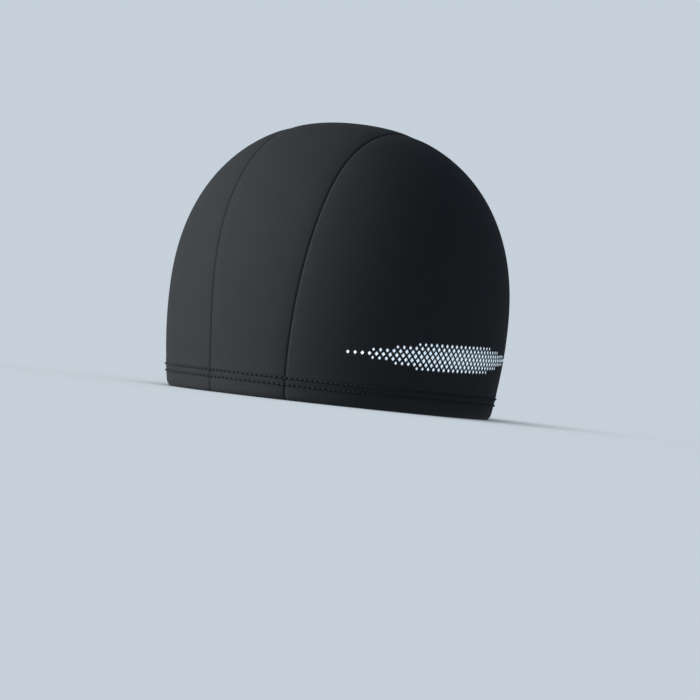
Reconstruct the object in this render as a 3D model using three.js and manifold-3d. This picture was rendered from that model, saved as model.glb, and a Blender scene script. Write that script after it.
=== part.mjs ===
// A cloth swim cap in the form it takes when worn, standing on its rim. Millimetres, +Z up.
// The origin is the middle of the rim's level. The forehead faces -Y, and the wearer's left is +X.
// Three panels meet at two long seams, and the rim is a hem turned up inside.

import * as THREE from 'three';
import { mergeVertices } from 'three/addons/utils/BufferGeometryUtils.js';
import Module from 'manifold-3d';

const wasm = await Module();
wasm.setup();

// The dome
const CAP_LENGTH = 196; // forehead to nape, where the cap is widest
const CAP_WIDTH = 158; // ear to ear, where the cap is widest
const CAP_HEIGHT = 136; // rim to crown
const WIDEST_LEVEL = 44; // from the rim up to where the cap is widest
const RIM_LENGTH = 186; // forehead to nape just above the rim, where the cap draws in
const CROWN_FULLNESS = 2.24; // exponent of the crown's curve: 2 is an ellipse, more is fuller
const CLOTH = 1.2; // thickness of the cloth
const GAP = 0.3; // clear space between two pieces

// The strip between the two long seams
const STRIP_WIDTH_AT_RIM = 39.6;
const STRIP_WIDTH_AT_CROWN = 49;
const STRIP_FULL_LEVEL = 98; // above this the strip has its full width

// The hem
const HEM_DEPTH = 12.6; // how far the hem is turned up inside
const FOLD_ROUND_IN = 1.7; // how far the fold at the rim rounds in
const FOLD_ROUND_UP = 3; // and how far up its round reaches
const LOWER_STITCHES = 7.2; // from the rim up to the lower row of stitches
const STITCH_ROWS_APART = 3.1;
const STITCH_GROOVE_DEPTH = 0.4; // how far a row of stitches draws the cloth in
const STITCH_GROOVE_WIDTH = 1.8;

// How finely the curves are stepped
const STEPS_PER_TURN = 72;
const STEPS_CROWN = 13;
const STEPS_SIDE = 3;
const STEPS_FOLD = 3;
const STEPS_SEAM = 10;

const hemInset = 2 * CLOTH + GAP;
const stitchRows = [LOWER_STITCHES, LOWER_STITCHES + STITCH_ROWS_APART];
const blockLength = Math.max(CAP_LENGTH, RIM_LENGTH) + 2 * CLOTH;

// A ring of the cap is an oval at one height. girth is its share of the widest oval, and inset is how
// far it lies inside the cap's outer face.
const ring = (girth, inset, height) => ({ girth, inset, height });

// Below the widest level the sides draw in towards the rim along a parabola.
function girthBelowWidest(height) {
  const down = (WIDEST_LEVEL - height) / WIDEST_LEVEL;
  return 1 - (1 - RIM_LENGTH / CAP_LENGTH) * down ** 2;
}

const sideRing = (inset, height) => ring(girthBelowWidest(height), inset, height);

// The crown is a superellipse from its pole down to the widest level, inset as a whole.
function crownRings(inset) {
  const rise = CAP_HEIGHT - WIDEST_LEVEL - inset;
  return Array.from({ length: STEPS_CROWN + 1 }, (_, i) => {
    const angle = (Math.PI / 2) * (1 - i / STEPS_CROWN);
    const girth = i === 0 ? 0 : Math.cos(angle) ** (2 / CROWN_FULLNESS);
    return ring(girth, inset, WIDEST_LEVEL + rise * Math.sin(angle) ** (2 / CROWN_FULLNESS));
  });
}

// The plain side between the hem's grooves and the widest level, from the top down.
function sideRings(inset, bottom) {
  return Array.from({ length: STEPS_SIDE }, (_, i) => {
    const share = (i + 1) / STEPS_SIDE;
    return sideRing(inset, WIDEST_LEVEL + (bottom - WIDEST_LEVEL) * share);
  });
}

// The two shallow grooves that the rows of stitches pull into the hem, from the top down.
function stitchRings() {
  const half = STITCH_GROOVE_WIDTH / 2;
  return [...stitchRows].reverse().flatMap((row) => [
    sideRing(0, row + half),
    sideRing(STITCH_GROOVE_DEPTH, row),
    sideRing(0, row - half),
  ]);
}

// The rounded outside of the fold, a quarter of an ellipse from the side down to the flat foot.
function foldRings() {
  return Array.from({ length: STEPS_FOLD + 1 }, (_, i) => {
    const angle = (Math.PI / 2) * (i / STEPS_FOLD);
    const inset = FOLD_ROUND_IN * (1 - Math.cos(angle));
    return sideRing(inset, FOLD_ROUND_UP * (1 - Math.sin(angle)));
  });
}

// Turns a chain of rings into a closed surface round the upright axis. The lathe gives the faces, and
// each ring is then set to its own oval, so that the cloth is as thick at the ears as at the forehead.
function turnedOvals(rings) {
  const chain = rings.map(({ girth, height }) => new THREE.Vector2(girth, height));
  const geometry = new THREE.LatheGeometry(chain, STEPS_PER_TURN);
  const position = geometry.attributes.position;
  for (let i = 0; i < position.count; i += 1) {
    const { girth, inset, height } = rings[i % rings.length];
    const step = Math.floor(i / rings.length) % STEPS_PER_TURN;
    const angle = (2 * Math.PI * step) / STEPS_PER_TURN;
    const x = girth * (CAP_WIDTH / 2 - inset) * Math.sin(angle);
    const y = -girth * (CAP_LENGTH / 2 - inset) * Math.cos(angle);
    position.setXYZ(i, x, y, height);
  }
  return geometry;
}

// Makes a solid of a closed geometry: shared corners are merged, and faces with no area, which a
// lathe leaves at its poles, are left out.
function solidOf(geometry) {
  geometry.deleteAttribute('normal');
  geometry.deleteAttribute('uv');
  const merged = mergeVertices(geometry);
  const index = merged.index.array;
  const kept = [];
  for (let i = 0; i < index.length; i += 3) {
    const [a, b, c] = index.slice(i, i + 3);
    if (a !== b && b !== c && c !== a) kept.push(a, b, c);
  }
  return new wasm.Manifold(new wasm.Mesh({
    numProp: 3,
    vertProperties: new Float32Array(merged.attributes.position.array),
    triVerts: new Uint32Array(kept),
  }));
}

function geometryOf(solid) {
  const mesh = solid.getMesh();
  const geometry = new THREE.BufferGeometry();
  geometry.setAttribute('position', new THREE.BufferAttribute(mesh.vertProperties, 3));
  geometry.setIndex(new THREE.BufferAttribute(mesh.triVerts, 1));
  geometry.computeVertexNormals();
  return geometry;
}

// The whole dome of one thickness of cloth, whose fold at the rim reaches in under the turned hem.
function domeShell() {
  const top = stitchRows[1] + STITCH_GROOVE_WIDTH;
  const outside = [...crownRings(0), ...sideRings(0, top), ...stitchRings(), ...foldRings()];
  const fold = [sideRing(hemInset, CLOTH), sideRing(hemInset, 0)];
  const inside = [...crownRings(CLOTH), ...sideRings(CLOTH, CLOTH)];
  return solidOf(turnedOvals([...inside, ...fold, ...outside.reverse()]));
}

// The layer that stands on the fold inside the rim, up to the hem's raw edge.
function hemLayer() {
  const foot = CLOTH + GAP;
  const levels = [HEM_DEPTH, (HEM_DEPTH + foot) / 2, foot];
  const inner = levels.map((height) => sideRing(hemInset, height));
  const outer = levels.map((height) => sideRing(CLOTH + GAP, height));
  return turnedOvals([...inner, ...outer.reverse(), inner[0]]);
}

// A block as long as the cap whose sides follow both seams, seen from the forehead. Each side moves
// out by margin. From the rim to the full level it widens along a smooth S-shaped curve.
function stripBlock(margin) {
  const rim = STRIP_WIDTH_AT_RIM / 2 + margin;
  const crown = STRIP_WIDTH_AT_CROWN / 2 + margin;
  const low = STRIP_FULL_LEVEL / 3;
  const high = 2 * low;
  const shape = new THREE.Shape();
  shape.moveTo(-rim, -CLOTH);
  shape.lineTo(rim, -CLOTH);
  shape.lineTo(rim, 0);
  shape.bezierCurveTo(rim, low, crown, high, crown, STRIP_FULL_LEVEL);
  shape.lineTo(crown, CAP_HEIGHT + CLOTH);
  shape.lineTo(-crown, CAP_HEIGHT + CLOTH);
  shape.lineTo(-crown, STRIP_FULL_LEVEL);
  shape.bezierCurveTo(-crown, high, -rim, low, -rim, 0);
  const block = new THREE.ExtrudeGeometry(shape, {
    depth: blockLength,
    bevelEnabled: false,
    curveSegments: STEPS_SEAM,
  });
  block.rotateX(Math.PI / 2);
  block.translate(0, blockLength / 2, 0);
  return solidOf(block);
}

// A block that holds everything on the wearer's left of the cap's middle.
function leftBlock() {
  const width = (CAP_WIDTH * blockLength) / CAP_LENGTH;
  const block = new THREE.BoxGeometry(width, blockLength, 2 * CAP_HEIGHT + 2 * CLOTH);
  block.translate(width / 2, 0, 0);
  return solidOf(block);
}

const cloth = (color) => new THREE.MeshStandardMaterial({ color, roughness: 0.72, metalness: 0 });

function piece(name, geometry, color) {
  const mesh = new THREE.Mesh(geometry, cloth(color));
  mesh.name = name;
  return mesh;
}

const shell = domeShell();
const sides = shell.subtract(stripBlock(GAP / 2));
const left = leftBlock();

const group = new THREE.Group();
group.add(
  piece('centre_panel', geometryOf(shell.intersect(stripBlock(-GAP / 2))), 0x3a3e42),
  piece('left_side_panel', geometryOf(sides.intersect(left)), 0x24282e),
  piece('right_side_panel', geometryOf(sides.subtract(left)), 0x42474a),
  piece('turned_hem', hemLayer(), 0x1c1f23),
);

export default group;
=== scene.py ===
import math

import bpy
import numpy as np
from mathutils import Matrix, Vector


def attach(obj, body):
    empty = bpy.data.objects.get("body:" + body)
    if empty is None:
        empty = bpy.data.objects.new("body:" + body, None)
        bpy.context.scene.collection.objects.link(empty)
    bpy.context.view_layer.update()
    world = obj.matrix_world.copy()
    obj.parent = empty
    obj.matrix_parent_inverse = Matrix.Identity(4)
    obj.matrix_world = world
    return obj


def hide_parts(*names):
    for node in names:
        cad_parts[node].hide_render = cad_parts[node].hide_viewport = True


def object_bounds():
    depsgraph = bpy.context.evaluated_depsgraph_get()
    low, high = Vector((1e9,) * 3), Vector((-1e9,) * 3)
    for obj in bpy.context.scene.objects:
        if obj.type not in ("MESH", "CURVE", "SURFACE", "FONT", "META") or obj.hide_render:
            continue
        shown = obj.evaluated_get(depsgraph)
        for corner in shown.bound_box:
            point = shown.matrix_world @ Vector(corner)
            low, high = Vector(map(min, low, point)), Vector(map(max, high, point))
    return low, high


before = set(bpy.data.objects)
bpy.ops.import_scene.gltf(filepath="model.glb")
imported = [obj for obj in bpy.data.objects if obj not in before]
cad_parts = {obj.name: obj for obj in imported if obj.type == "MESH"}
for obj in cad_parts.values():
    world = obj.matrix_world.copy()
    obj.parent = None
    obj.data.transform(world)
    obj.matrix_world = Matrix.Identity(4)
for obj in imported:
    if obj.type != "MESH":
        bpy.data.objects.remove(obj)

# A cloth swim cap standing on its rim: three panels of stretch knit, two long seams, a turned and
# twice-stitched hem, and a printed field of small lozenges on the wearer's left. Metres, +Z up, the
# forehead faces -Y and the wearer's left is +X.

MM = 0.001
cad_low, cad_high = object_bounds()

# The dome
HALF_WIDTH = (cad_high.x - cad_low.x) / 2
HALF_LENGTH = (cad_high.y - cad_low.y) / 2
HEIGHT = cad_high.z - cad_low.z
WIDEST = 44 * MM  # height of the widest level
RIM_SHARE = 186 / 196  # length just above the rim, as a share of the widest
FULLNESS = 2.24  # exponent of the crown's curve
CLOTH = 1.2 * MM
GAP = 0.3 * MM

# The strip between the seams
STRIP_AT_RIM = 39.6 / 2 * MM
STRIP_AT_CROWN = 49 / 2 * MM
STRIP_FULL = 98 * MM

# The fold at the rim and the hem inside it
HEM_DEPTH = 12.6 * MM
HEM_INSET = 2 * CLOTH + GAP
FOLD_IN = 1.7 * MM
FOLD_UP = 3 * MM
FOLD_MIDDLE = 1.83 * MM  # inset at which the panel's half of the fold meets the hem's half
FOLD_SLIT = 0.04 * MM  # room between the two halves
HEM_FOLD_UP = 1.5 * MM  # height of the hem's half of the fold
HEM_STRAIGHT = 2 * MM  # height at which the hem's straight rows start
HEM_LIP = 0.5 * MM  # how far the round of its upper edge reaches down
LIP_START = 0.4 * MM  # how far below that edge the straight rows end
HEM_PUFF = 0.2 * MM  # how far two layers stand out beyond one
PUFF_EDGE = 0.5 * MM  # how softly the puff ends

# The hem's stitches
STITCH_ROWS = (7.2 * MM, 10.3 * MM)
STITCH_SHIFTS = (0.0, 0.5)  # where each row starts, as a share of a stitch
STITCH_PITCH = 2.4 * MM
STITCH_LENGTH = 2.1 * MM
STITCH_RADIUS = 0.48 * MM
STITCH_PROUD = 0.2 * MM  # how far the middle of a stitch's thread stands above the hem's face
STITCH_DIP = 0.6 * MM  # how far its ends go down from there
GROOVE_DEPTH = 0.12 * MM  # at a needle's hole
GROOVE_SHALLOW = 0.55  # the groove's depth under a stitch, as a share
GROOVE_INSIDE = 0.6  # the groove's depth on the inner face, as a share
GROOVE_WIDTH = 0.7 * MM

# The zigzag thread over the hem's raw edge
COVER_RADIUS = 0.16 * MM
COVER_LIFT = 0.1 * MM  # how far its ends stand off the hem
COVER_ARCH = 0.12 * MM  # how much further its middle does

# The seams
SEAM_SLIT = 0.04 * MM  # half the slit between two panels
SEAM_ROLL = 1.5 * MM  # how far from the seam a panel begins to roll in
SEAM_DEPTH = 0.7 * MM
SEAM_DIP = 0.3 * MM  # how far both panels dip towards the seam
SEAM_DIP_WIDTH = 3.6 * MM
SEAM_BAND = 6.5 * MM  # the closely meshed border along a seam

# The seam allowances inside, each a band beside its seam
ALLOWANCE = 5.5 * MM  # width
ALLOWANCE_BACK = 0.7 * MM  # how far it starts before the seam
ALLOWANCE_CLEAR = 0.04 * MM  # room between it and the panel
ALLOWANCE_RISE = 1.3 * MM  # how far its top stands off the panel
ALLOWANCE_ROUND = 0.5 * MM  # how far its edges round down
ALLOWANCE_FOOT = 12.9 * MM  # height at which it starts
OVERLOCK_PITCH = 2.2 * MM
OVERLOCK_LEAN = 0.6 * OVERLOCK_PITCH
OVERLOCK_RADIUS = 0.15 * MM
OVERLOCK_FOOT = 13.5 * MM
# The overlocking thread's way: (distance from the seam, rise off the panel, share of its lean)
OVERLOCK_WAY = (
    (0.9 * MM, 1.36 * MM, 0.0),
    (2.0 * MM, 1.42 * MM, 0.25),
    (3.2 * MM, 1.42 * MM, 0.5),
    (4.3 * MM, 1.36 * MM, 0.75),
    (4.95 * MM, 1.05 * MM, 0.9),
    (5.1 * MM, 0.6 * MM, 1.0),
    (4.9 * MM, 0.2 * MM, 1.0),
)

# The print
PRINT_START = math.radians(33.5)  # turn from the forehead at which the field starts
PRINT_END = math.radians(119)
PRINT_LEVEL = (25.6 * MM, 30 * MM)  # height of its middle line at the start and at the end
PRINT_HALF = 7.6 * MM  # half its height where it is widest
PRINT_PITCH = 3.5 * MM
PRINT_ROW = 1.9 * MM
PRINT_ROWS = 4  # rows above the middle one, and as many below
PRINT_FILL = (0.43, 0.65)  # a lozenge's share of its place, at the ends and where the field is widest
PRINT_GROWTH = 0.8  # below 1 the lozenges grow quickly from the ends
PRINT_FADE = 0.35  # how much smaller a lozenge is at the field's upper and lower edges
PRINT_TAPER = 1.15  # how slender its ends are
PRINT_LEAN = 0.95  # below 1 the field is widest nearer to its start
PRINT_STOP = 0.995  # share of the field's length past which no lozenge starts
PRINT_PROUD = 0.06 * MM
PRINT_SUNK = 0.12 * MM
PRINT_STEPS = 600  # points along its middle line


# The cap's form

RAY_REACH = 1.3 * HALF_LENGTH  # longer than any ray from the middle of the widest level
RAY_HALVINGS = 44


def girth(height, inset=0.0):
    """The share of the widest oval at a height. Below the widest level it is one less a parabola; above it
    is a superellipse, (1 - up ^ n) ^ (1 / n)."""
    down = (WIDEST - height) / WIDEST
    up = np.clip((height - WIDEST) / (HEIGHT - WIDEST - inset), 0, 1)
    above = (1 - up ** FULLNESS) ** (1 / FULLNESS)
    return np.where(height < WIDEST, 1 - (1 - RIM_SHARE) * down ** 2, above)


def seam_x(height):
    """Half the strip's width at a height: it eases from the rim's to the crown's as 3 t^2 - 2 t^3."""
    t = np.clip(height / STRIP_FULL, 0, 1)
    return STRIP_AT_RIM + (STRIP_AT_CROWN - STRIP_AT_RIM) * (3 * t ** 2 - 2 * t ** 3)


def oval_points(turn, height, inset):
    """Points of the oval at a height: x is half its width times sin(turn), y is minus half its length
    times cos(turn), so that a turn of 0 is the forehead and a quarter turn the left ear."""
    share = girth(height, inset)
    x = share * (HALF_WIDTH - inset) * np.sin(turn)
    y = -share * (HALF_LENGTH - inset) * np.cos(turn)
    return np.stack(np.broadcast_arrays(x, y, height), -1)


def side_points(share, shift, height, inset):
    """Points of the cap's front at x = share * seam + shift, on the oval of each height."""
    x = share * seam_x(height) + shift
    half_width = girth(height) * (HALF_WIDTH - inset)
    half_length = girth(height) * (HALF_LENGTH - inset)
    y = -half_length * np.sqrt(np.clip(1 - (x / half_width) ** 2, 0, 1))
    return np.stack(np.broadcast_arrays(x, y, height), -1)


def crown_points(share, shift, angle, inset):
    """Points of the crown's front at x = share * seam + shift, on a ray that leaves the middle of the
    widest level at an angle above the forehead's direction. Where it meets the superellipse
    (x, y)^n + z^n = 1 is found by halving."""
    share, shift, angle = np.broadcast_arrays(share, shift, angle)
    low = np.zeros(angle.shape)
    high = np.full(angle.shape, RAY_REACH)
    for _ in range(RAY_HALVINGS):
        ray = (low + high) / 2
        rise = ray * np.sin(angle)
        x = share * seam_x(WIDEST + rise) + shift
        level = np.hypot(x / (HALF_WIDTH - inset), ray * np.cos(angle) / (HALF_LENGTH - inset))
        inside = level ** FULLNESS + (rise / (HEIGHT - WIDEST - inset)) ** FULLNESS < 1
        low = np.where(inside, ray, low)
        high = np.where(inside, high, ray)
    return np.stack([x, -ray * np.cos(angle), WIDEST + rise], -1)


def outward(points):
    """The plain dome's unit normals: the gradient of its oval share above and below the widest level."""
    x, y, z = points[..., 0], points[..., 1], points[..., 2]
    level = np.maximum(np.hypot(x / HALF_WIDTH, y / HALF_LENGTH), 1e-6)
    up = np.maximum((z - WIDEST) / (HEIGHT - WIDEST), 0)
    power = np.where(z < WIDEST, level ** -1, level ** (FULLNESS - 2))
    slope = -2 * (1 - RIM_SHARE) * (WIDEST - z) / WIDEST ** 2
    upward = np.where(z < WIDEST, slope, up ** (FULLNESS - 1) / (HEIGHT - WIDEST))
    normal = np.stack([power * x / HALF_WIDTH ** 2, power * y / HALF_LENGTH ** 2, upward], -1)
    return normal / np.linalg.norm(normal, axis=-1, keepdims=True)


def seam_gap(points):
    """How far a point lies from the nearer seam, measured across."""
    return np.abs(np.abs(points[..., 0]) - seam_x(points[..., 2]))


def lengths_along(points):
    """The length walked from the first point of a line to each point."""
    steps = np.linalg.norm(np.diff(points, axis=0), axis=1)
    return np.concatenate([[0], np.cumsum(steps)])


# The relief of the hem and the seams

RIM_STEPS = 2000
RIM_TURN = np.linspace(0, 2 * math.pi, RIM_STEPS + 1)


def rim_run(height):
    """The length walked round the oval of a height up to each of the rim's turns."""
    return lengths_along(oval_points(RIM_TURN, np.full(RIM_TURN.shape, height), 0.0))


ROW_RUNS = [rim_run(row) for row in STITCH_ROWS]
STITCH_COUNTS = [2 * round(run[-1] / STITCH_PITCH / 2) for run in ROW_RUNS]


def bell(distance, width):
    """A bell curve, one in the middle."""
    return np.exp(-((distance / width) ** 2))


def needle_depth(points):
    """The two stitched grooves. Along a row the depth is a cosine of the stitches, deepest between them
    where the needle goes in, and across it a bell curve."""
    turn = np.arctan2(points[..., 0] / HALF_WIDTH, -points[..., 1] / HALF_LENGTH) % (2 * math.pi)
    depth = 0
    for row, run, count, shift in zip(STITCH_ROWS, ROW_RUNS, STITCH_COUNTS, STITCH_SHIFTS):
        phase = 2 * math.pi * (np.interp(turn, RIM_TURN, run) / run[-1] * count - shift)
        along = (1 + GROOVE_SHALLOW - (1 - GROOVE_SHALLOW) * np.cos(phase)) / 2
        depth = depth + along * bell(points[..., 2] - row, GROOVE_WIDTH)
    return GROOVE_DEPTH * depth


def hem_relief(points):
    """How far the hem's surface lies inwards: its grooves, less the puff of its double cloth, which ends
    as a logistic curve at the hem's depth."""
    puff = 1 / (1 + np.exp((points[..., 2] - HEM_DEPTH) / PUFF_EDGE))
    return needle_depth(points) - HEM_PUFF * puff


def relief(points):
    """How far the outer face lies inwards: a quarter round beside the seam, a wider bell-shaped dip, and
    the hem's relief."""
    gap = seam_gap(points)
    roll = SEAM_DEPTH * (1 - np.sqrt(1 - np.clip(1 - gap / SEAM_ROLL, 0, 1) ** 2))
    return roll + SEAM_DIP * bell(gap, SEAM_DIP_WIDTH) + hem_relief(points)


def dressed(points):
    """Points of the plain dome moved in by its relief, none of them below the foot."""
    moved = points - relief(points)[..., None] * outward(points)
    moved[..., 2] = np.maximum(moved[..., 2], 0)
    return moved


# Rows of the front half, from the foot to the crown

FOLD_ROWS = 9
SIDE_ROWS = 14
CROWN_ROWS = 51
FINE_ROW = 0.3 * MM  # from one row to the next across the stitched hem
FINE_TOP = 14 * MM
STRAIGHT_ROWS = np.concatenate([np.arange(FOLD_UP, FINE_TOP, FINE_ROW),
                                np.linspace(FINE_TOP, WIDEST, SIDE_ROWS)])
CROWN_ANGLES = np.linspace(0, math.pi / 2, CROWN_ROWS + 1)[1:]


def fold_rows(inner):
    """The insets and heights of the fold's rows. The outer sheet starts at the fold's middle and follows a
    quarter of an ellipse. The inner one curves in as the fourth power of its share of the way down."""
    if inner:
        share = np.linspace(1, 0, FOLD_ROWS, endpoint=False)
        return CLOTH + (FOLD_MIDDLE - CLOTH) * share ** 4, FOLD_UP - (FOLD_UP - CLOTH) * share
    turn = np.linspace(math.pi / 2, 0, FOLD_ROWS - 1, endpoint=False)
    inset = np.concatenate([[FOLD_MIDDLE], FOLD_IN * (1 - np.cos(turn))])
    height = np.concatenate([[0.0], FOLD_UP * (1 - np.sin(turn))])
    return inset, height


def front_half(share, shift, inner):
    """The grid of the front half, rows by columns, where a column's x is share * seam + shift. The outer
    sheet turns under at the fold, and the inner one ends the cloth's thickness above the foot."""
    inset = CLOTH if inner else 0.0
    fold_inset, fold_height = fold_rows(inner)
    fold = side_points(share, shift, fold_height[:, None], fold_inset[:, None])
    straight = side_points(share, shift, STRAIGHT_ROWS[:, None], inset)
    crown = crown_points(share, shift, CROWN_ANGLES[:, None], inset)
    points = np.concatenate([fold, straight, crown])
    return points if inner else dressed(points)


def both_halves(front):
    """The front half followed by its mirror image at the back, joined along the crown's row."""
    return np.concatenate([front, front[-2::-1] * np.array([1, -1, 1])])


SEAM_LINE = both_halves(front_half(np.ones(1), np.zeros(1), True))[:, 0]
SEAM_RUN = lengths_along(SEAM_LINE)


# Meshes

NO_TRIS = np.zeros((0, 3), int)


def grid_numbers(rows, columns):
    """The numbers of a grid's points, row by row."""
    return np.arange(rows * columns).reshape(rows, columns)


def quads_of(number):
    """Quads between neighbouring rows and columns of a grid of point numbers."""
    corners = [number[:-1, :-1], number[:-1, 1:], number[1:, 1:], number[1:, :-1]]
    return np.stack(corners, -1).reshape(-1, 4)


def volume(points, quads, tris):
    """Signed volume inside the faces: the sum of a . (b x c) / 6 over the triangles."""
    corners = np.concatenate([quads[:, [0, 1, 2]], quads[:, [0, 2, 3]], tris])
    a, b, c = (points[corners[:, i]] for i in range(3))
    return float((a * np.cross(b, c)).sum() / 6)


def facing_out(points, quads, tris):
    """The faces of a closed mesh, all turned round if the volume inside them is negative."""
    if volume(points, quads, tris) < 0:
        return quads[:, ::-1], tris[:, ::-1]
    return quads, tris


def wall(outer, inner, quads, tris):
    """A closed wall of two sheets with the same faces: the outer sheet, the inner one turned round, and a
    strip of quads along each free edge."""
    count = len(outer)
    edges = np.concatenate([quads[:, [i, (i + 1) % 4]] for i in range(4)]
                           + [tris[:, [i, (i + 1) % 3]] for i in range(3)])
    _, first, uses = np.unique(np.sort(edges, 1), axis=0, return_index=True, return_counts=True)
    free = edges[first[uses == 1]]
    strip = np.stack([free[:, 1], free[:, 0], free[:, 0] + count, free[:, 1] + count], -1)
    points = np.concatenate([outer, inner])
    quads = np.concatenate([quads, quads[:, ::-1] + count, strip])
    tris = np.concatenate([tris, tris[:, ::-1] + count])
    return points, quads, tris


def piece(name, points, quads, tris, material, uv, values=None, smooth=True):
    """A mesh object on the cap's body, its faces turned outwards, with a UV map and float values at its
    points."""
    quads, tris = facing_out(points, quads, tris)
    mesh = bpy.data.meshes.new(name)
    corners = np.concatenate([quads.ravel(), tris.ravel()]).astype(np.int32)
    starts = np.concatenate([np.arange(len(quads)) * 4, 4 * len(quads) + np.arange(len(tris)) * 3])
    mesh.vertices.add(len(points))
    mesh.vertices.foreach_set("co", points.astype(np.float32).ravel())
    mesh.loops.add(len(corners))
    mesh.loops.foreach_set("vertex_index", corners)
    mesh.polygons.add(len(starts))
    mesh.polygons.foreach_set("loop_start", starts.astype(np.int32))
    mesh.polygons.foreach_set("use_smooth", np.full(len(starts), smooth))
    layer = mesh.uv_layers.new(name="cloth")
    layer.data.foreach_set("uv", uv[corners].astype(np.float32).ravel())
    for key, value in (values or {}).items():
        mesh.attributes.new(key, "FLOAT", "POINT").data.foreach_set("value", value.astype(np.float32))
    mesh.update(calc_edges=True)
    mesh.validate()
    mesh.materials.append(material)
    made = bpy.data.objects.new(name, mesh)
    bpy.context.scene.collection.objects.link(made)
    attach(made, "root")
    return made


# Shader groups

KNIT_RELIEF = 0.02 * MM
WALE = 0.5 * MM  # width of a column of the knit's loops
COURSE = 0.4 * MM  # height of a loop
LOOP_LEAN = 1.3  # how steeply a loop's legs lean
LOOP_DEPTH = 0.35  # the loops' share of a column's height
CLOUD_SCALE = 60  # clouds of uneven shade, per metre of cloth
CLOUD_DETAIL = 3
CLOUD_SHARE = 0.7  # share of uneven dye; the knit's height gives the rest, painted shade in the hollows
SHADE_ROUGHNESS = 0.15  # how much rougher the cloth is where its shade is full
PRINT_RELIEF = 0.012 * MM  # what the print film shows of the knit
PLY_RELIEF = 0.03 * MM
PLIES = 2
TWIST_PITCH = 0.7 * MM  # length of thread in one turn of its twist
PUCKER_RELIEF = 0.06 * MM
PUCKER_PITCH = 3.1 * MM
PUCKER_SWELL = 17 * MM  # the slow wave along which the puckers grow and fade
SWELL_SHARE = 0.4  # how much of a pucker's height the slow wave gives
PUCKER_REACH = 3 * MM  # how far from the seam the puckers fade


def node_group(name, inputs, outputs):
    """A new shader node group with named float, vector or colour sockets."""
    group = bpy.data.node_groups.new(name, "ShaderNodeTree")
    for label, kind, value in inputs:
        socket = group.interface.new_socket(name=label, in_out="INPUT", socket_type=kind)
        if value is not None:
            socket.default_value = value
    for label, kind in outputs:
        group.interface.new_socket(name=label, in_out="OUTPUT", socket_type=kind)
    return group, group.nodes.new("NodeGroupInput"), group.nodes.new("NodeGroupOutput")


def math_node(tree, operation, *values):
    """A Math node fed by sockets or numbers; gives its output socket."""
    node = tree.nodes.new("ShaderNodeMath")
    node.operation = operation
    for socket, value in zip(node.inputs, values):
        if isinstance(value, bpy.types.NodeSocket):
            tree.links.new(value, socket)
        else:
            socket.default_value = value
    return node.outputs[0]


def wave_node(tree, run, length):
    """A sine of a distance, with waves of the given length."""
    return math_node(tree, "SINE", math_node(tree, "MULTIPLY", run, 2 * math.pi / length))


def knit_group():
    """Plain knit: columns of V-shaped loops. Across a column the height is |sin|, and along it a sine
    whose phase leans with the distance from the column's middle. The shade is a noise of uneven dye and
    the height, which paints shade into the hollows between the loops."""
    group, given, made = node_group(
        "plain_knit",
        [("UV", "NodeSocketVector", None), ("Wale", "NodeSocketFloat", WALE),
         ("Course", "NodeSocketFloat", COURSE)],
        [("Height", "NodeSocketFloat"), ("Shade", "NodeSocketFloat")],
    )
    split = group.nodes.new("ShaderNodeSeparateXYZ")
    group.links.new(given.outputs["UV"], split.inputs[0])
    across = math_node(group, "DIVIDE", split.outputs[0], given.outputs["Wale"])
    along = math_node(group, "DIVIDE", split.outputs[1], given.outputs["Course"])
    from_middle = math_node(group, "SUBTRACT", math_node(group, "FRACT", across), 0.5)
    lean = math_node(group, "MULTIPLY", math_node(group, "ABSOLUTE", from_middle), LOOP_LEAN)
    loops = wave_node(group, math_node(group, "ADD", along, lean), 1)
    ribs = math_node(group, "ABSOLUTE", wave_node(group, across, 2))
    uneven = math_node(group, "MULTIPLY_ADD", loops, LOOP_DEPTH, 1 - LOOP_DEPTH)
    height = math_node(group, "MULTIPLY", ribs, uneven)
    clouds = group.nodes.new("ShaderNodeTexNoise")
    clouds.inputs["Scale"].default_value = CLOUD_SCALE
    clouds.inputs["Detail"].default_value = CLOUD_DETAIL
    group.links.new(given.outputs["UV"], clouds.inputs["Vector"])
    # The shade: the clouds are uneven dye, and the height is painted shade in the loops' hollows.
    shade = math_node(group, "ADD", math_node(group, "MULTIPLY", height, 1 - CLOUD_SHARE),
                      math_node(group, "MULTIPLY", clouds.outputs[0], CLOUD_SHARE))
    group.links.new(height, made.inputs["Height"])
    group.links.new(shade, made.inputs["Shade"])
    return group


def pucker_group():
    """Small puckers across a seam: a wave along it, which a slow wave makes uneven and which fades as a
    bell curve of the distance from the seam."""
    group, given, made = node_group(
        "seam_pucker",
        [("Gap", "NodeSocketFloat", 0.0), ("Run", "NodeSocketFloat", 0.0),
         ("Reach", "NodeSocketFloat", PUCKER_REACH)],
        [("Height", "NodeSocketFloat")],
    )
    wave = wave_node(group, given.outputs["Run"], PUCKER_PITCH)
    slow = wave_node(group, given.outputs["Run"], PUCKER_SWELL)
    near = math_node(group, "DIVIDE", given.outputs["Gap"], given.outputs["Reach"])
    square = math_node(group, "POWER", near, 2.0)
    fade = math_node(group, "EXPONENT", math_node(group, "MULTIPLY", square, -1.0))
    uneven = math_node(group, "MULTIPLY_ADD", slow, SWELL_SHARE, 1 - SWELL_SHARE)
    both = math_node(group, "MULTIPLY", wave, uneven)
    group.links.new(math_node(group, "MULTIPLY", both, fade), made.inputs["Height"])
    return group


KNIT = knit_group()
PUCKER = pucker_group()


# Materials

def new_material(name, colour, roughness):
    """A Principled material with constant colour and roughness to build on."""
    material = bpy.data.materials.new(name)
    material.use_nodes = True
    shader = material.node_tree.nodes["Principled BSDF"]
    shader.inputs["Base Color"].default_value = (*colour, 1)
    shader.inputs["Roughness"].default_value = roughness
    return material, material.node_tree, shader


def cloth_uv(tree):
    """The piece's own UV map."""
    node = tree.nodes.new("ShaderNodeUVMap")
    node.uv_map = "cloth"
    return node.outputs[0]


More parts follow.
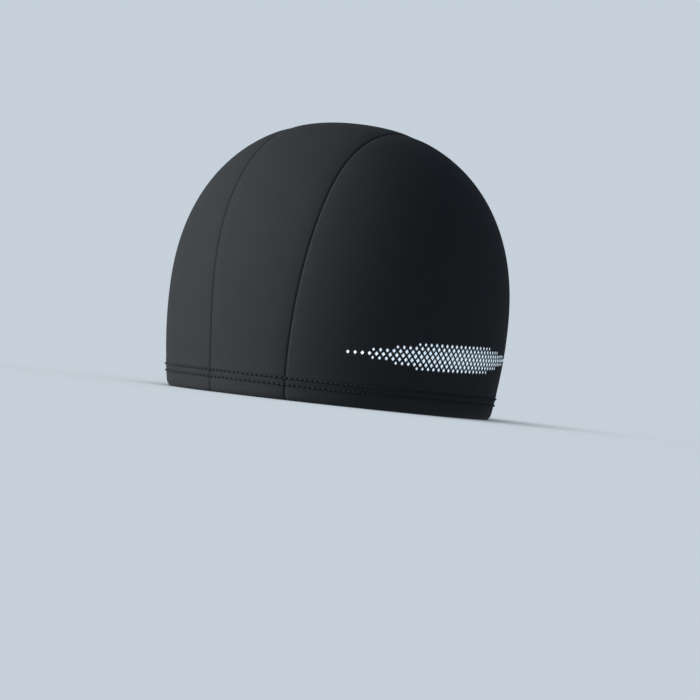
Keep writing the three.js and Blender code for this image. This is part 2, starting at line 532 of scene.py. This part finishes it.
def attribute(tree, name):
    """A float value that the piece holds at its points."""
    node = tree.nodes.new("ShaderNodeAttribute")
    node.attribute_name = name
    return node.outputs["Fac"]


def placed(tree, group, **fed):
    """A shader group placed in a material, with the named inputs fed by sockets."""
    node = tree.nodes.new("ShaderNodeGroup")
    node.node_tree = group
    for name, socket in fed.items():
        tree.links.new(socket, node.inputs[name])
    return node


def blend_colour(tree, shader, factor, dark, light):
    """A base colour between two, by a factor from 0 to 1."""
    mix = tree.nodes.new("ShaderNodeMix")
    mix.data_type = "RGBA"
    mix.inputs[6].default_value = (*dark, 1)
    mix.inputs[7].default_value = (*light, 1)
    tree.links.new(factor, mix.inputs[0])
    tree.links.new(mix.outputs[2], shader.inputs["Base Color"])


def uneven_roughness(tree, shader, shade, least):
    """A roughness that grows a little with the knit's shade."""
    rough = math_node(tree, "MULTIPLY_ADD", shade, SHADE_ROUGHNESS, least)
    tree.links.new(rough, shader.inputs["Roughness"])


def add_bump(tree, shader, height, distance, below=None):
    """A Bump node of a height times a distance in metres, over another bump if there is one."""
    bump = tree.nodes.new("ShaderNodeBump")
    bump.inputs["Distance"].default_value = distance
    tree.links.new(height, bump.inputs["Height"])
    if below is not None:
        tree.links.new(below, bump.inputs["Normal"])
    tree.links.new(bump.outputs[0], shader.inputs["Normal"])
    return bump.outputs[0]


def knit_material():
    """Black coated stretch knit: fine loops, hardly any gloss, small puckers along the seams."""
    material, tree, shader = new_material("black_knit", (0.0103, 0.011, 0.0116), 0.9)
    shader.inputs["Specular IOR Level"].default_value = 0.02
    knit = placed(tree, KNIT, UV=cloth_uv(tree))
    # Darker where the shade is low: uneven dye from the clouds, and painted shade in the knit's hollows.
    blend_colour(tree, shader, knit.outputs["Shade"], (0.009, 0.0096, 0.0102), (0.0117, 0.0124, 0.013))
    uneven_roughness(tree, shader, knit.outputs["Shade"], 0.8)
    pucker = placed(tree, PUCKER, Gap=attribute(tree, "seam_gap"), Run=attribute(tree, "seam_run"))
    wide = add_bump(tree, shader, pucker.outputs["Height"], PUCKER_RELIEF)
    add_bump(tree, shader, knit.outputs["Height"], KNIT_RELIEF, wide)
    return material


def thread_material():
    """Black polyester thread: two plies twisted, as a wave that climbs round the thread. Its colour is
    darker in the grooves between the plies, as painted shade.
    """
    material, tree, shader = new_material("black_thread", (0.0095, 0.0101, 0.0107), 0.8)
    shader.inputs["Specular IOR Level"].default_value = 0.03
    split = tree.nodes.new("ShaderNodeSeparateXYZ")
    tree.links.new(cloth_uv(tree), split.inputs[0])
    twists = math_node(tree, "DIVIDE", split.outputs[0], TWIST_PITCH)
    plies = wave_node(tree, math_node(tree, "ADD", twists, split.outputs[1]), 1 / PLIES)
    add_bump(tree, shader, plies, PLY_RELIEF)
    # Painted shade: dark in the grooves between the plies, lighter on their ridges.
    factor = math_node(tree, "MULTIPLY_ADD", plies, 0.5, 0.5)
    blend_colour(tree, shader, factor, (0.0082, 0.0087, 0.0093), (0.0108, 0.0115, 0.0122))
    return material


def print_material():
    """White transfer film that lets the knit's loops show through a little."""
    material, tree, shader = new_material("white_print", (0.86, 0.88, 0.9), 0.5)
    knit = placed(tree, KNIT, UV=cloth_uv(tree))
    # The film is darker in the knit's hollows, which is painted shade, and unevenly toned by the clouds.
    blend_colour(tree, shader, knit.outputs["Shade"], (0.84, 0.87, 0.9), (0.9, 0.92, 0.94))
    uneven_roughness(tree, shader, knit.outputs["Shade"], 0.42)
    add_bump(tree, shader, knit.outputs["Height"], PRINT_RELIEF)
    return material


knit_cloth = knit_material()
thread = thread_material()
white_print = print_material()


# Panels

BORDER_COLUMNS = 14
BORDER_CROWDING = 2.1  # above 1 the border's columns lie closer together near the seam
EDGE_GAPS = SEAM_SLIT + (SEAM_BAND - SEAM_SLIT) * np.linspace(0, 1, BORDER_COLUMNS) ** BORDER_CROWDING
STRIP_COLUMNS = 22
SIDE_COLUMNS = 330
EAR_RADIUS = 88 * MM  # mean distance of a side panel from the middle of the widest level
HEM_STEPS = 380
ROUND_STEPS = 7  # points on each rounded corner of the hem's section


def cloth_values(points, run):
    """The values that the knit's material reads at each point."""
    return {"seam_gap": seam_gap(points), "seam_run": run}


def centre_panel():
    """The strip over the crown: columns close together at both seams, rows from rim to rim."""
    middle = np.linspace(-1, 1, STRIP_COLUMNS + 1)[1:-1]
    shares = np.concatenate([-np.ones(len(EDGE_GAPS)), middle, np.ones(len(EDGE_GAPS))])
    shifts = np.concatenate([EDGE_GAPS, -middle * SEAM_BAND, -EDGE_GAPS[::-1]])
    outer, inner = (both_halves(front_half(shares, shifts, side)) for side in (False, True))
    rows, columns = outer.shape[:2]
    run = np.repeat(SEAM_RUN, columns)
    uv = np.stack([outer[..., 0].ravel(), run], -1)
    quads = quads_of(grid_numbers(rows, columns))
    points, quads, tris = wall(outer.reshape(-1, 3), inner.reshape(-1, 3), quads, NO_TRIS)
    values = cloth_values(points, np.tile(run, 2))
    made = piece("centre_panel_cloth", points, quads, tris, knit_cloth, np.tile(uv, (2, 1)), values)
    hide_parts("centre_panel")
    return made


def side_sheet(inner):
    """One sheet of the left panel: the border along the seam, and the field beside it. A row of the field
    has one height and runs from the border's front edge round the ear to its back edge, at even turns."""
    inset = CLOTH if inner else 0.0
    border = both_halves(front_half(np.ones(len(EDGE_GAPS)), EDGE_GAPS, inner))
    fold_inset, fold_height = fold_rows(inner)
    crown_height = crown_points(1.0, SEAM_BAND, CROWN_ANGLES[:-1], inset)[:, 2]
    height = np.concatenate([fold_height, STRAIGHT_ROWS, crown_height])
    insets = np.concatenate([fold_inset, np.full(len(height) - FOLD_ROWS, inset)])
    x = seam_x(height) + SEAM_BAND
    start = np.arcsin(np.clip(x / (girth(height, insets) * (HALF_WIDTH - insets)), -1, 1))
    share = np.linspace(0, 1, SIDE_COLUMNS + 1)[1:-1]
    turn = start[:, None] + (math.pi - 2 * start[:, None]) * share
    field = oval_points(turn, height[:, None], insets[:, None])
    return border, field if inner else dressed(field)


def ear_uv(points):
    """UV in metres for a side panel: the angle from the ear's direction times a mean radius, laid out
    along the direction seen from the side."""
    from_middle = points - np.array([0, 0, WIDEST])
    away = np.linalg.norm(from_middle, axis=1)
    angle = np.arccos(np.clip(np.abs(from_middle[:, 0]) / away, 0, 1))
    flat = np.maximum(np.linalg.norm(from_middle[:, 1:], axis=1), 1e-9)
    return from_middle[:, 1:] / flat[:, None] * (EAR_RADIUS * angle)[:, None]


def side_faces(border_shape, field_shape):
    """The faces of a side panel's sheet: the border's quads, the field's quads with the border's last
    column at both ends, and triangles from the field's last row to the border's point on the crown."""
    number = grid_numbers(*border_shape)
    edge = number[:, -1]
    field_rows = field_shape[0]
    field = number.size + grid_numbers(*field_shape)
    field = np.concatenate([edge[:field_rows, None], field, edge[::-1][:field_rows, None]], axis=1)
    top = field[-1]
    pole = np.full(len(top) - 1, edge[field_rows])
    quads = np.concatenate([quads_of(number), quads_of(field)])
    return quads, np.stack([top[:-1], top[1:], pole], -1)


def side_panel(name, node, side):
    """A side panel: the left one for a side of 1, and its mirror image for a side of -1."""
    sheets = [side_sheet(inner) for inner in (False, True)]
    border, field = sheets[0]
    quads, tris = side_faces(border.shape[:2], field.shape[:2])
    outer, inner = (np.concatenate([b.reshape(-1, 3), f.reshape(-1, 3)]) for b, f in sheets)
    points, quads, tris = wall(outer, inner, quads, tris)
    run = np.concatenate([np.repeat(SEAM_RUN, border.shape[1]),
                          np.repeat(SEAM_RUN[:len(field)], field.shape[1])])
    points = points * np.array([side, 1, 1])
    values = cloth_values(points, np.tile(run, 2))
    made = piece(name, points, quads, tris, knit_cloth, ear_uv(points), values)
    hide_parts(node)
    return made


def hem_groove(height):
    """The depth of the stitches' grooves on the hem's inner face."""
    return GROOVE_INSIDE * GROOVE_DEPTH * sum(bell(height - row, GROOVE_WIDTH) for row in STITCH_ROWS)


def hem_section():
    """The closed section of the hem's inner layer as insets and heights: a quarter of an ellipse for its
    half of the fold, up the inner face, a half ellipse over the raw edge, and down the outer face."""
    foot = FOLD_MIDDLE + FOLD_SLIT
    quarter = np.linspace(0, math.pi / 2, ROUND_STEPS)
    fold_inset = foot + (HEM_INSET - foot) * np.sin(quarter)
    fold_height = HEM_FOLD_UP * (1 - np.cos(quarter))
    rise = np.arange(HEM_STRAIGHT, HEM_DEPTH - LIP_START, FINE_ROW)
    half_turn = np.linspace(math.pi / 2, -math.pi / 2, ROUND_STEPS)
    lip_inset = CLOTH + GAP + CLOTH / 2 * (1 + np.sin(half_turn))
    lip_height = HEM_DEPTH - HEM_LIP * (1 - np.cos(half_turn))
    down = rise[::-1]
    inset = np.concatenate([fold_inset, HEM_INSET - hem_groove(rise), lip_inset,
                            np.full(len(down), CLOTH + GAP), [foot]])
    height = np.concatenate([fold_height, rise, lip_height, down, [CLOTH]])
    return inset, height


def turned_hem():
    """The hem's inner layer with its half of the fold: a closed section carried round the rim."""
    inset, height = hem_section()
    turn = np.linspace(0, 2 * math.pi, HEM_STEPS, endpoint=False)
    points = oval_points(turn[:, None], height[None], inset[None])
    number = grid_numbers(*points.shape[:2])
    number = np.concatenate([number, number[:1]])
    number = np.concatenate([number, number[:, :1]], axis=1)
    points = points.reshape(-1, 3)
    run = np.repeat(turn * (HALF_WIDTH + HALF_LENGTH) / 2, len(inset))
    uv = np.stack([run, points[:, 2]], -1)
    values = cloth_values(points, run)
    made = piece("turned_hem_cloth", points, quads_of(number), NO_TRIS, knit_cloth, uv, values)
    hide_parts("turned_hem")
    return made


# Threads

THREAD_SIDES = 6
FINE_SIDES = 5  # for the finer threads inside the cap
THREAD_TIP = 0.12  # the square of a thread's least radius, as a share of its full one
STITCH_STEPS = 9
COVER_STEPS = 6
ALLOWANCE_COLUMNS = 8


def threads(name, lines, normals, radius, sides):
    """Many short threads as one mesh: a ring of points round each step of each line, and a point at each
    end. A ring's radius shrinks towards both ends as the square root of one less the sixth power of the
    distance from the middle. lines and normals are arrays of threads by steps by 3."""
    count, steps = lines.shape[:2]
    along = np.gradient(lines, axis=1)
    along /= np.linalg.norm(along, axis=2, keepdims=True)
    across = np.cross(normals, along)
    across /= np.linalg.norm(across, axis=2, keepdims=True)
    up = np.cross(along, across)
    angle = np.linspace(0, 2 * math.pi, sides, endpoint=False)
    taper = np.sqrt(np.maximum(1 - np.abs(np.linspace(-1, 1, steps)) ** 6, THREAD_TIP))
    ring = across[:, :, None] * np.cos(angle)[:, None] + up[:, :, None] * np.sin(angle)[:, None]
    tube = lines[:, :, None] + radius * taper[None, :, None, None] * ring
    points = np.concatenate([tube.reshape(count, -1, 3), lines[:, [0, -1]]], axis=1).reshape(-1, 3)
    number = grid_numbers(steps, sides)
    number = np.concatenate([number, number[:, :1]], axis=1)
    first, last = steps * sides, steps * sides + 1
    tris = np.concatenate([np.stack([number[0, 1:], number[0, :-1], np.full(sides, first)], -1),
                           np.stack([number[-1, :-1], number[-1, 1:], np.full(sides, last)], -1)])
    base = (np.arange(count) * (last + 1))[:, None, None]
    quads = (quads_of(number)[None] + base).reshape(-1, 4)
    tris = (tris[None] + base).reshape(-1, 3)
    walked = np.linalg.norm(np.diff(lines, axis=1), axis=2).cumsum(1)
    walked = np.concatenate([np.zeros((count, 1)), walked], axis=1)
    u = np.concatenate([np.repeat(walked, sides, axis=1), walked[:, [0, -1]]], axis=1).ravel()
    v = np.tile(np.concatenate([np.tile(angle / (2 * math.pi), steps), [0, 0]]), count)
    made = piece(name, points, quads, tris, thread, np.stack([u, v], -1))
    return made


def hem_stitches():
    """Two rows of straight stitches round the hem. Each lies proud of its groove, and dips into the
    needle's holes at both ends, as the fourth power of the distance from its middle."""
    share = np.linspace(-0.5, 0.5, STITCH_STEPS)
    lines = []
    for row, run, count, shift in zip(STITCH_ROWS, ROW_RUNS, STITCH_COUNTS, STITCH_SHIFTS):
        middle = (np.arange(count) + shift) * run[-1] / count
        at = (middle[:, None] + share * STITCH_LENGTH) % run[-1]
        points = oval_points(np.interp(at, run, RIM_TURN), np.full(at.shape, row), 0.0)
        rise = HEM_PUFF + STITCH_PROUD - STITCH_DIP * np.abs(2 * share) ** 4
        lines.append(points + rise[:, None] * outward(points))
    lines = np.concatenate(lines)
    return threads("hem_stitches", lines, outward(lines), STITCH_RADIUS, THREAD_SIDES)


def cover_stitches():
    """Inside the hem, the under-thread of both rows: it crosses from one row to the other and back over
    the raw edge, each time with a low arch as a half sine."""
    low_row, high_row = STITCH_ROWS
    # Each leg of the zigzag: (level it leaves, level it reaches, share of a stitch at which it starts)
    legs = ((low_row, high_row, 0.0), (high_row, low_row, 0.5),
            (high_row, HEM_DEPTH, 0.25), (HEM_DEPTH, high_row, 0.75))
    share = np.linspace(0, 1, COVER_STEPS)
    run, count = ROW_RUNS[0], STITCH_COUNTS[0]
    lines = []
    for leaves, reaches, shift in legs:
        start = (np.arange(count) + shift) * run[-1] / count
        at = (start[:, None] + share * STITCH_PITCH / 2) % run[-1]
        height = np.broadcast_to(leaves + (reaches - leaves) * share, at.shape)
        inset = HEM_INSET - hem_groove(height) + COVER_LIFT + COVER_ARCH * np.sin(math.pi * share)
        lines.append(oval_points(np.interp(at, run, RIM_TURN), height, inset))
    lines = np.concatenate(lines)
    return threads("hem_cover_stitches", lines, -outward(lines), COVER_RADIUS, FINE_SIDES)


def nearest_row(height):
    """The number of the straight row that lies nearest to a height."""
    return int(np.argmin(np.abs(STRAIGHT_ROWS - height)))


def inside_band(shifts, insets, first):
    """Columns beside the left seam, inside the cap, from a straight row up over the crown and down to the
    same row at the back."""
    straight = side_points(1.0, shifts, STRAIGHT_ROWS[first:, None], insets)
    crown = crown_points(1.0, shifts, CROWN_ANGLES[:, None], insets)
    return both_halves(np.concatenate([straight, crown]))


def seam_allowance(name, side):
    """The two trimmed edges of a seam inside the cap, pressed to the side panel as one band, whose edges
    round down as the sixth power of the distance from its middle."""
    shares = np.linspace(0, 1, ALLOWANCE_COLUMNS)
    shifts = -ALLOWANCE_BACK + ALLOWANCE * shares
    pressed = CLOTH + ALLOWANCE_CLEAR
    raised = CLOTH + ALLOWANCE_RISE - ALLOWANCE_ROUND * np.abs(2 * shares - 1) ** 6
    first = nearest_row(ALLOWANCE_FOOT)
    sheets = [inside_band(shifts, insets, first) for insets in (pressed, raised)]
    rows, columns = sheets[0].shape[:2]
    points, quads, tris = wall(sheets[0].reshape(-1, 3), sheets[1].reshape(-1, 3),
                               quads_of(grid_numbers(rows, columns)), NO_TRIS)
    seam_run = SEAM_RUN[FOLD_ROWS + first:FOLD_ROWS + first + rows]
    run = np.tile(np.repeat(seam_run, columns), 2)
    uv = np.stack([run, np.tile(shifts, 2 * rows)], -1)
    points = points * np.array([side, 1, 1])
    made = piece(name, points, quads, tris, knit_cloth, uv, cloth_values(points, run))
    return made


def overlock(name, side):
    """The edge stitch of a seam allowance: one slanting thread every pitch, from the seam across the band
    and round its edge."""
    shifts, rises, leans = np.array(OVERLOCK_WAY).T
    columns = inside_band(shifts, CLOTH + rises, nearest_row(OVERLOCK_FOOT))
    run = lengths_along(columns[:, 0])
    at = np.arange(OVERLOCK_PITCH, run[-1] - OVERLOCK_PITCH, OVERLOCK_PITCH)
    steps = []
    for i, lean in enumerate(leans):
        slanted = at + lean * OVERLOCK_LEAN
        steps.append(np.stack([np.interp(slanted, run, columns[:, i, axis]) for axis in range(3)], -1))
    lines = np.stack(steps, axis=1) * np.array([side, 1, 1])
    return threads(name, lines, -outward(lines), OVERLOCK_RADIUS, FINE_SIDES)


# The print

def lozenge_places(length):
    """Where the lozenges lie along and across the field, and their sizes as shares of a place. Rows are
    staggered. The field's edge swells as a sine, and a lozenge shrinks towards its ends and edges."""
    columns = int(length / PRINT_PITCH)
    rows = np.arange(-PRINT_ROWS, PRINT_ROWS + 1)[:, None]
    at = (np.arange(columns) + 0.5 * (rows % 2) + 0.5) * length / columns
    across = np.broadcast_to(rows * PRINT_ROW, at.shape)
    share = at / length
    swell = np.sin(math.pi * np.clip(share, 0, 1) ** PRINT_LEAN)
    edge = np.abs(across) / (PRINT_HALF * np.maximum(swell, 0.01) ** PRINT_TAPER)
    size = PRINT_FILL[0] + (PRINT_FILL[1] - PRINT_FILL[0]) * swell ** PRINT_GROWTH
    size = size * (1 - PRINT_FADE * edge ** 2)
    kept = (edge < 1) & (share < PRINT_STOP)
    return at[kept], across[kept], size[kept]


def side_print():
    """A field of lozenges in a long leaf shape. Each is a low prism: its upper four corners lie just above
    the cloth's face and its lower four just under it."""
    turn = np.linspace(PRINT_START, PRINT_END, PRINT_STEPS)
    level = np.interp(turn, (PRINT_START, PRINT_END), PRINT_LEVEL)
    run = lengths_along(oval_points(turn, level, 0.0))
    at, across, size = lozenge_places(run[-1])
    corner_run = at[:, None] + size[:, None] * np.array([0.5, 0.0, -0.5, 0.0]) * PRINT_PITCH
    corner_rise = size[:, None] * np.array([0.0, 1.0, 0.0, -1.0]) * PRINT_ROW
    height = np.interp(at, run, level)[:, None] + across[:, None] + corner_rise
    base = oval_points(np.interp(corner_run, run, turn), height, 0.0)
    normal = outward(base)
    upper, lower = base + PRINT_PROUD * normal, base - PRINT_SUNK * normal
    points = np.concatenate([upper, lower], axis=1).reshape(-1, 3)
    walls = [[i, i + 4, (i + 1) % 4 + 4, (i + 1) % 4] for i in range(4)]
    prism = np.array([[0, 1, 2, 3], [7, 6, 5, 4]] + walls)
    quads = (prism[None] + (np.arange(len(base)) * 8)[:, None, None]).reshape(-1, 4)
    made = piece("side_print", points, quads, NO_TRIS, white_print, ear_uv(points), smooth=False)
    return made


centre = centre_panel()
left = side_panel("left_side_panel_cloth", "left_side_panel", 1)
right = side_panel("right_side_panel_cloth", "right_side_panel", -1)
hem = turned_hem()
stitches = hem_stitches()
cover = cover_stitches()
left_allowance = seam_allowance("left_seam_allowance", 1)
right_allowance = seam_allowance("right_seam_allowance", -1)
left_overlock = overlock("left_seam_overlock", 1)
right_overlock = overlock("right_seam_overlock", -1)
printed = side_print()


# The studio

VIEW_AZIMUTH = math.radians(25.4)
VIEW_ELEVATION = math.radians(0)
VIEW_ROLL = math.radians(6.4)
VIEW_DISTANCE = 1.9
MM_PER_PIXEL = 0.487
FRAME_PIXELS = 700
AIM_RIGHT = 14.4 * MM_PER_PIXEL * MM  # the frame's centre from the rim's middle, to the right
AIM_UP = 54.3 * MM_PER_PIXEL * MM
SENSOR = 36.0
CLIP_NEAR, CLIP_FAR = 0.05, 60
FLOOR_RADIUS = 8.0
FLOOR_SIDES = 96
FLOOR_DROP = 0.05 * MM  # how far the floor lies below the cap's foot

FLOOR_LAMP = {"name": "floor_lamp", "side": -70, "elevation": 78, "softness": 60, "strength": 1.6,
              "colour": (1.0, 0.99, 0.97)}
CAP_LAMPS = (
    {"name": "key_lamp", "side": -67, "elevation": 15, "softness": 34, "strength": 4.45,
     "colour": (1.0, 1.0, 0.99)},
    {"name": "back_lamp", "side": 180, "elevation": 0, "softness": 5, "strength": 2.0,
     "colour": (0.94, 0.97, 1.0)},
)
INNER_LAMP_SIZE = 130 * MM
INNER_LAMP_RADIANCE = 3.0
SKY = (0.56, 0.68, 0.82)  # the radiance of the dim light from all round
FLOOR_GLOW = (0.86, 0.98, 1.1)  # the radiance that the floor throws back at the cap
BACKDROP = (0.566, 0.633, 0.702)  # the radiance of the open floor and of all behind it

right_way = Vector((math.cos(VIEW_AZIMUTH), math.sin(VIEW_AZIMUTH), 0))
back_way = Vector((
    math.cos(VIEW_ELEVATION) * math.sin(VIEW_AZIMUTH),
    -math.cos(VIEW_ELEVATION) * math.cos(VIEW_AZIMUTH),
    math.sin(VIEW_ELEVATION),
))
up_way = back_way.cross(right_way)


def linked(name, data):
    """A new object of the data, linked to the scene."""
    made = bpy.data.objects.new(name, data)
    bpy.context.scene.collection.objects.link(made)
    return made


def studio_camera():
    """The camera at the photograph's angle, rolled as the cap is tilted in it."""
    data = bpy.data.cameras.new("studio_camera")
    data.sensor_width = SENSOR
    data.lens = SENSOR * VIEW_DISTANCE / (FRAME_PIXELS * MM_PER_PIXEL * MM)
    data.clip_start, data.clip_end = CLIP_NEAR, CLIP_FAR
    camera = linked("studio_camera", data)
    turned_right = right_way * math.cos(VIEW_ROLL) + up_way * math.sin(VIEW_ROLL)
    turned_up = up_way * math.cos(VIEW_ROLL) - right_way * math.sin(VIEW_ROLL)
    aim = right_way * AIM_RIGHT + up_way * AIM_UP
    axes = Matrix((turned_right, turned_up, back_way)).transposed()
    camera.matrix_world = Matrix.Translation(aim + back_way * VIEW_DISTANCE) @ axes.to_4x4()
    bpy.context.scene.camera = camera


def sun(name, side, elevation, softness, strength, colour):
    """A distant soft lamp. side is the angle from the camera to the lamp, to the right, softness is the
    angle that the lamp fills, and strength is the radiance of white paper that faces it."""
    data = bpy.data.lights.new(name, "SUN")
    data.angle = math.radians(softness)
    data.energy = strength * math.pi
    data.color = colour
    lamp = linked(name, data)
    angle = VIEW_AZIMUTH + math.radians(side)
    lift = math.radians(elevation)
    way = Vector((math.cos(lift) * math.sin(angle), -math.cos(lift) * math.cos(angle), math.sin(lift)))
    lamp.location = way
    lamp.rotation_euler = way.to_track_quat("Z", "Y").to_euler()
    return lamp


def inner_lamp():
    """A round panel of light that lies inside the rim and shines up, so that the inside shows from below.
    A disk of radiance r and size s gives r (pi s / 2)^2 watts."""
    data = bpy.data.lights.new("inner_lamp", "AREA")
    data.shape = "DISK"
    data.size = INNER_LAMP_SIZE
    data.energy = INNER_LAMP_RADIANCE * (math.pi * INNER_LAMP_SIZE / 2) ** 2
    lamp = linked("inner_lamp", data)
    lamp.location = (0, 0, 1 * MM)
    lamp.rotation_euler = (math.pi, 0, 0)
    lamp.visible_camera = False
    return lamp


def studio_lamps(floor):
    """The floor's own high lamp, which gives a short soft shadow, and the lamps that light the cap."""
    only, rest = bpy.data.collections.new("floor_only"), bpy.data.collections.new("all_but_floor")
    only.objects.link(floor)
    rest.objects.link(floor)
    rest.collection_objects[0].light_linking.link_state = "EXCLUDE"
    sun(**FLOOR_LAMP).light_linking.receiver_collection = only
    for lamp in [sun(**values) for values in CAP_LAMPS] + [inner_lamp()]:
        lamp.light_linking.receiver_collection = rest


def studio_world():
    """The backdrop for the camera, and a dim cool light from all round."""
    world = bpy.data.worlds.new("studio")
    bpy.context.scene.world = world
    world.use_nodes = True
    tree = world.node_tree
    tree.nodes.clear()
    seen, dim = tree.nodes.new("ShaderNodeBackground"), tree.nodes.new("ShaderNodeBackground")
    seen.inputs[0].default_value = (*BACKDROP, 1)
    dim.inputs[0].default_value = (*SKY, 1)
    path, mix = tree.nodes.new("ShaderNodeLightPath"), tree.nodes.new("ShaderNodeMixShader")
    out = tree.nodes.new("ShaderNodeOutputWorld")
    tree.links.new(path.outputs["Is Camera Ray"], mix.inputs[0])
    tree.links.new(dim.outputs[0], mix.inputs[1])
    tree.links.new(seen.outputs[0], mix.inputs[2])
    tree.links.new(mix.outputs[0], out.inputs[0])


def floor_paint():
    """The floor's colour: the backdrop's radiance over the light that falls on the floor, so that no
    horizon shows."""
    falling = FLOOR_LAMP["strength"] * math.sin(math.radians(FLOOR_LAMP["elevation"]))
    return np.array(BACKDROP) / (np.array(SKY) + falling * np.array(FLOOR_LAMP["colour"]))


def floor_material():
    """Matt paint for the camera and an even glow for all other rays, so that light reaches into the cap.
    Seen from below it is clear."""
    material = bpy.data.materials.new("pale_floor")
    material.use_nodes = True
    tree = material.node_tree
    tree.nodes.clear()
    paint, clear = tree.nodes.new("ShaderNodeBsdfDiffuse"), tree.nodes.new("ShaderNodeBsdfTransparent")
    glow, path = tree.nodes.new("ShaderNodeEmission"), tree.nodes.new("ShaderNodeLightPath")
    side, out = tree.nodes.new("ShaderNodeNewGeometry"), tree.nodes.new("ShaderNodeOutputMaterial")
    above, both = tree.nodes.new("ShaderNodeMixShader"), tree.nodes.new("ShaderNodeMixShader")
    paint.inputs["Color"].default_value = (*floor_paint(), 1)
    glow.inputs["Color"].default_value = (*FLOOR_GLOW, 1)
    tree.links.new(path.outputs["Is Camera Ray"], above.inputs[0])
    tree.links.new(glow.outputs[0], above.inputs[1])
    tree.links.new(paint.outputs[0], above.inputs[2])
    tree.links.new(side.outputs["Backfacing"], both.inputs[0])
    tree.links.new(above.outputs[0], both.inputs[1])
    tree.links.new(clear.outputs[0], both.inputs[2])
    tree.links.new(both.outputs[0], out.inputs[0])
    return material


def studio_floor():
    """A wide round floor, just below the cap's foot."""
    turn = np.linspace(0, 2 * math.pi, FLOOR_SIDES, endpoint=False)
    level = np.full(FLOOR_SIDES, -FLOOR_DROP)
    ring = np.stack([FLOOR_RADIUS * np.cos(turn), FLOOR_RADIUS * np.sin(turn), level], -1)
    mesh = bpy.data.meshes.new("studio_floor")
    mesh.from_pydata(ring.tolist(), [], [tuple(range(FLOOR_SIDES))])
    mesh.materials.append(floor_material())
    floor = linked("studio_floor", mesh)
    return floor


studio_camera()
studio_world()
studio_lamps(studio_floor())
bpy.context.scene.view_settings.view_transform = "Standard"
